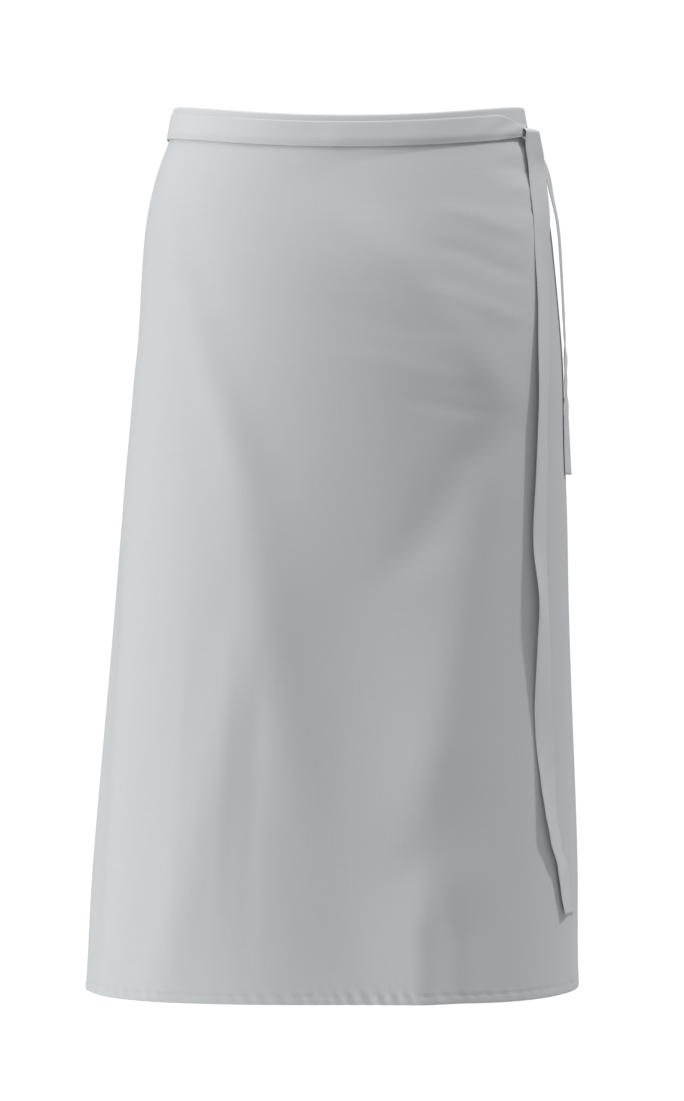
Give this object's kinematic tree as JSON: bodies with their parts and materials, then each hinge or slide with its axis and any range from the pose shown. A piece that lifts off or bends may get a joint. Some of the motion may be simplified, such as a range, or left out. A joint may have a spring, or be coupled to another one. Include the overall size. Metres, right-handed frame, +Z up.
{
  "type": "waist apron",
  "caption": "Long waist apron in its worn form: a cloth panel round the hips, open at the back, with a bound waistband and two ties knotted at one hip.",
  "frame": {"origin": "centre of the ring round the waist, 2 mm above the middle of the waistband's top edge at the front and 12 mm below that edge at the sides", "axes": "+Z up the body, -Y out of the front of the apron, +X to the right as seen from the front, where the knot is"},
  "size_m": [0.4531, 0.2523, 0.8113],
  "materials": {
    "panel_cloth": "light grey woven polyester-cotton cloth, matt",
    "tape_cloth": "light grey woven polyester-cotton tape, matt"
  },
  "bodies": {
    "root": {"skirt_panel": "panel_cloth", "bottom_hem": "panel_cloth", "side_hem_left": "panel_cloth", "side_hem_right": "panel_cloth", "waistband": "tape_cloth", "wrap_tie": "tape_cloth", "back_tie": "tape_cloth", "knot": "tape_cloth", "long_tail": "tape_cloth", "short_tail": "tape_cloth"}
  },
  "joints": []
}
